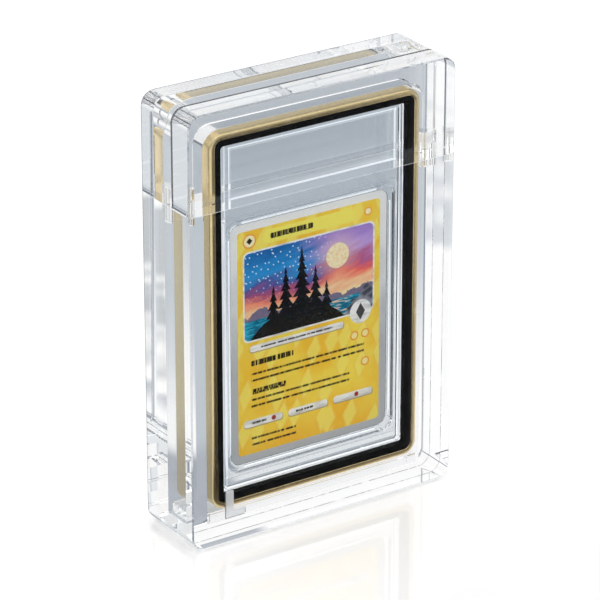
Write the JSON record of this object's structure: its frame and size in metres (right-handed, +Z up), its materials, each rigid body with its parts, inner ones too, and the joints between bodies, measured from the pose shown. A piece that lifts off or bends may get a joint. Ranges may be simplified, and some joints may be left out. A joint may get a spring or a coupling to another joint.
{
  "type": "trading card display case",
  "caption": "Clear acrylic display block with a lift-off lid, holding a sealed card slab in a gold and black bumper that stands in a pocket between thick clear plates.",
  "frame": {"origin": "middle of the block's base, at the height of the surface it stands on", "axes": "+X to the right when the card is read, +Y from the front panel to the back panel, +Z up"},
  "size_m": [0.106, 0.0296, 0.157],
  "materials": {
    "clear_acrylic": "clear, polished",
    "slab_plastic": "clear, polished",
    "gold_metal": "satin anodised gold",
    "black_rubber": "matte",
    "magnet_nickel": "polished nickel",
    "card_print": "printed card"
  },
  "bodies": {
    "case_body": {"body_front_panel": "clear_acrylic", "body_core_frame": "clear_acrylic", "body_back_panel": "clear_acrylic", "base_bar": "clear_acrylic", "retaining_clip": "clear_acrylic", "body_magnet_left": "magnet_nickel", "body_magnet_right": "magnet_nickel"},
    "lid": {"lid_front_panel": "clear_acrylic", "lid_core_frame": "clear_acrylic", "lid_back_panel": "clear_acrylic", "lid_magnet_left": "magnet_nickel", "lid_magnet_right": "magnet_nickel"},
    "slab_set": {"bumper_frame": "gold_metal", "front_gasket": "black_rubber", "rear_cushion": "black_rubber", "slab_front_shell": "slab_plastic", "slab_rear_shell": "slab_plastic", "card_holder": "slab_plastic", "card": "card_print"}
  },
  "joints": [
    {"name": "lid_lift", "type": "slide", "parent": "case_body", "child": "lid", "axis": [0, 0, 1], "range_m": [0, 0.15]},
    {"name": "slab_lift", "type": "slide", "parent": "case_body", "child": "slab_set", "axis": [0, 0, 1], "range_m": [0, 0.12]}
  ],
  "couplings": [
    {"joint": "slab_lift", "follows": "lid_lift", "ratio": 0.8}
  ]
}
